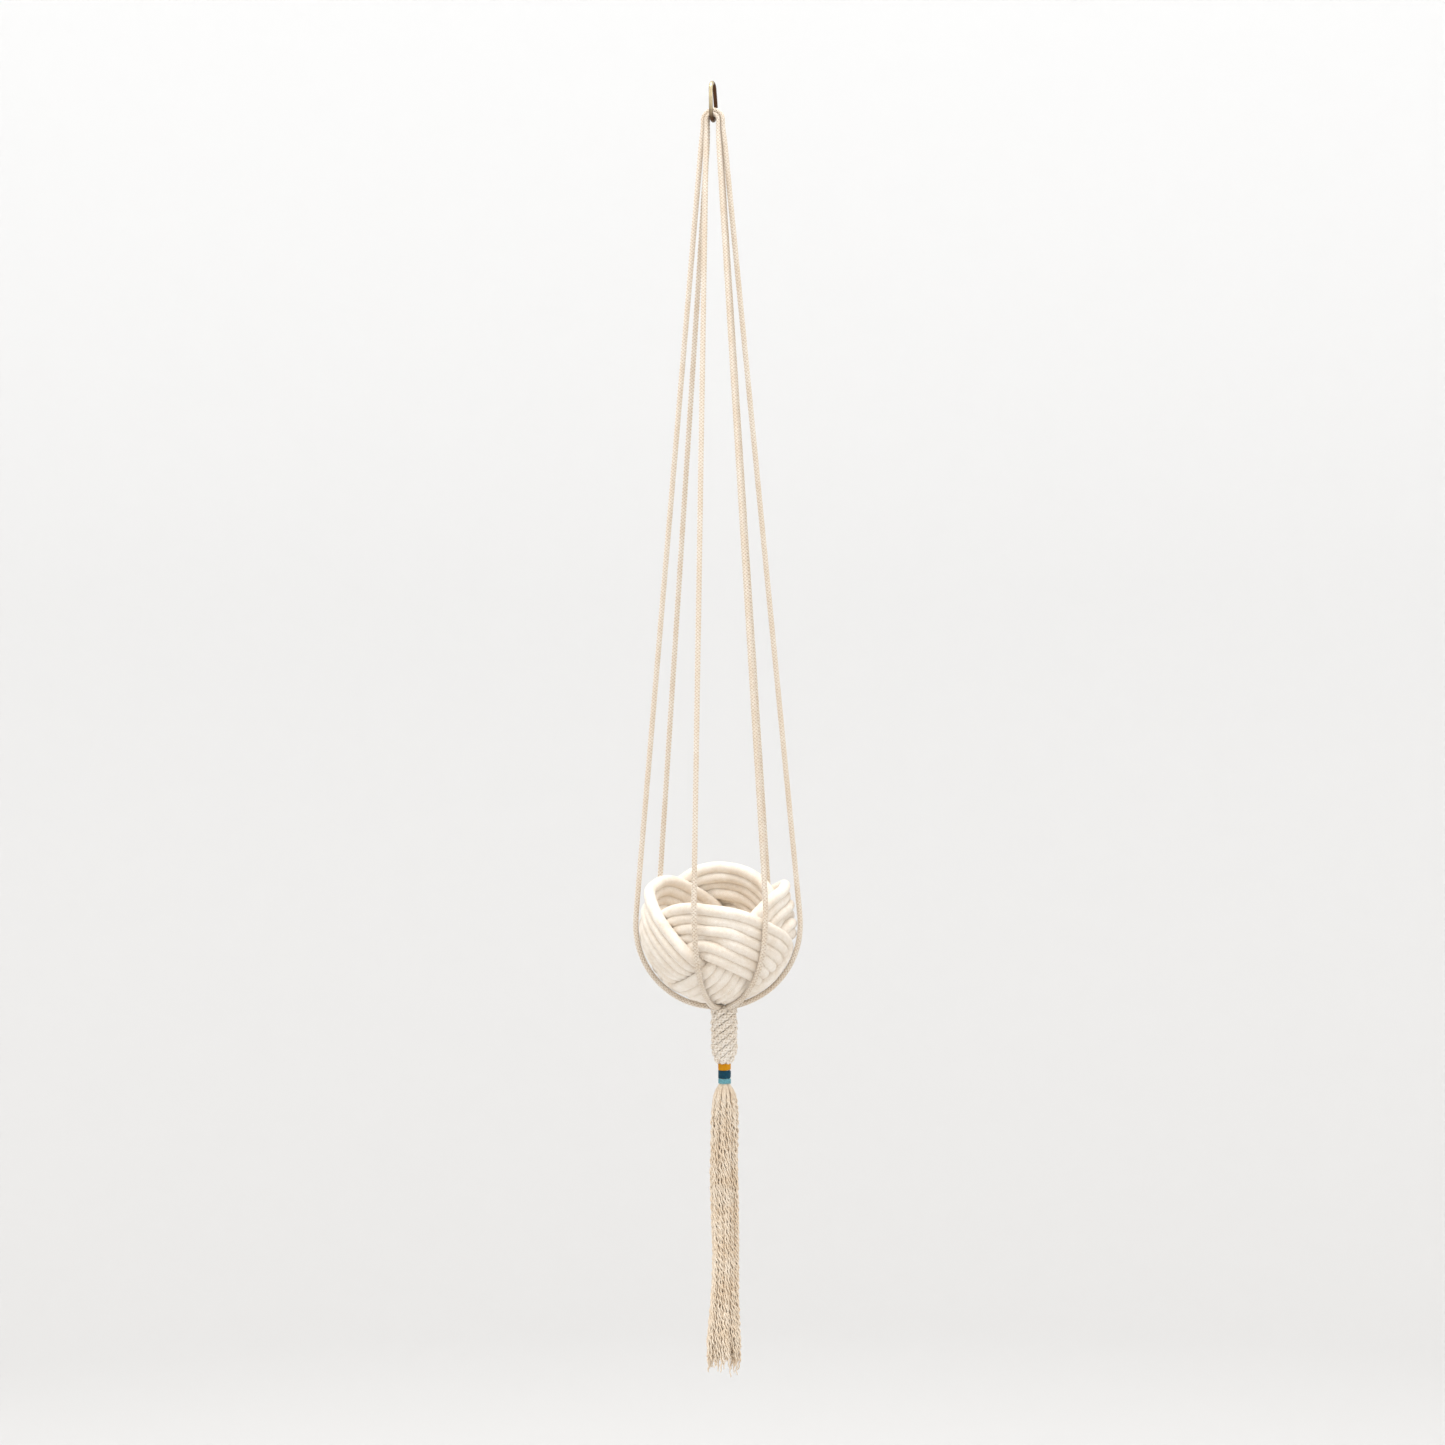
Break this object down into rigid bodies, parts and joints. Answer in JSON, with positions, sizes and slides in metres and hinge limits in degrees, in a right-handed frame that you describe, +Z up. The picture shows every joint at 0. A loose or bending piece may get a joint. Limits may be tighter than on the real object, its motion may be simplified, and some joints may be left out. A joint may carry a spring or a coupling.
{
  "type": "hanging planter",
  "caption": "Hanging planter: a knotted rope bowl in a sling of braided cord legs under a wire hook, with a crown sinnet, coloured yarn wraps and a tassel below.",
  "frame": {"origin": "inside top of the wire hook's upper loop, where the planter hangs", "axes": "+Z up along the plumb line, -Y towards the viewer, +X to the viewer's right"},
  "size_m": [0.1806, 0.1713, 1.3602],
  "materials": {
    "brass_wire": "aged brass wire, softly polished",
    "braided_cord": "braided cotton cord, cream",
    "bowl_rope": "smooth covered cotton rope, off-white",
    "tassel_yarn": "loose crimped cotton yarn, cream",
    "mustard_yarn": "wound cotton yarn, mustard",
    "teal_yarn": "wound cotton yarn, dark teal",
    "sky_yarn": "wound cotton yarn, sky blue"
  },
  "bodies": {
    "hook": {"wire_hook": "brass_wire"},
    "cord_tops": {"cord_front": "braided_cord", "cord_back": "braided_cord", "cord_side": "braided_cord"},
    "sling": {"leg_right": "braided_cord", "leg_back_right": "braided_cord", "leg_back_left": "braided_cord", "leg_left": "braided_cord", "leg_front_left": "braided_cord", "leg_front_right": "braided_cord"},
    "bowl": {"rope_bowl": "bowl_rope"},
    "tail": {"crown_sinnet": "braided_cord"},
    "neck": {"tassel_core": "tassel_yarn", "wrap_mustard": "mustard_yarn", "wrap_teal": "teal_yarn", "wrap_sky": "sky_yarn"},
    "bundle_1": {"tassel_1": "tassel_yarn"},
    "bundle_2": {"tassel_2": "tassel_yarn"},
    "bundle_3": {"tassel_3": "tassel_yarn"},
    "bundle_4": {"tassel_4": "tassel_yarn"},
    "bundle_5": {"tassel_5": "tassel_yarn"},
    "bundle_6": {"tassel_6": "tassel_yarn"}
  },
  "joints": [
    {"name": "swing_sideways", "type": "hinge", "parent": "hook", "child": "cord_tops", "pos_m": [0, 0, -0.0377], "axis": [0.2588, 0.9659, 0], "range_deg": [-20, 20]},
    {"name": "swing_front_back", "type": "hinge", "parent": "cord_tops", "child": "sling", "pos_m": [0, 0, -0.0515], "axis": [0.9659, -0.2588, 0], "range_deg": [-20, 20]},
    {"name": "bowl_turn", "type": "hinge", "parent": "sling", "child": "bowl", "pos_m": [-0.002, 0, -0.891], "axis": [0, -0.284, 0.9588], "continuous": true},
    {"name": "tail_swing", "type": "hinge", "parent": "sling", "child": "tail", "pos_m": [0.0035, 0, -0.99635], "axis": [0, 1, 0], "range_deg": [-30, 30]},
    {"name": "tassel_swing", "type": "hinge", "parent": "tail", "child": "neck", "pos_m": [0.0035, 0, -1.0362], "axis": [1, 0, 0], "range_deg": [-15, 15]},
    {"name": "tassel_1_fan", "type": "hinge", "parent": "neck", "child": "bundle_1", "pos_m": [0.007, 0, -1.06], "axis": [0, -1, 0], "range_deg": [0, 35]},
    {"name": "tassel_2_fan", "type": "hinge", "parent": "neck", "child": "bundle_2", "pos_m": [0.00525, 0.00303, -1.06], "axis": [0.866, -0.5, 0], "range_deg": [0, 35]},
    {"name": "tassel_3_fan", "type": "hinge", "parent": "neck", "child": "bundle_3", "pos_m": [0.00175, 0.00303, -1.06], "axis": [0.866, 0.5, 0], "range_deg": [0, 35]},
    {"name": "tassel_4_fan", "type": "hinge", "parent": "neck", "child": "bundle_4", "pos_m": [0, 0, -1.06], "axis": [0, 1, 0], "range_deg": [0, 35]},
    {"name": "tassel_5_fan", "type": "hinge", "parent": "neck", "child": "bundle_5", "pos_m": [0.00175, -0.00303, -1.06], "axis": [-0.866, 0.5, 0], "range_deg": [0, 35]},
    {"name": "tassel_6_fan", "type": "hinge", "parent": "neck", "child": "bundle_6", "pos_m": [0.00525, -0.00303, -1.06], "axis": [-0.866, -0.5, 0], "range_deg": [0, 35]}
  ]
}
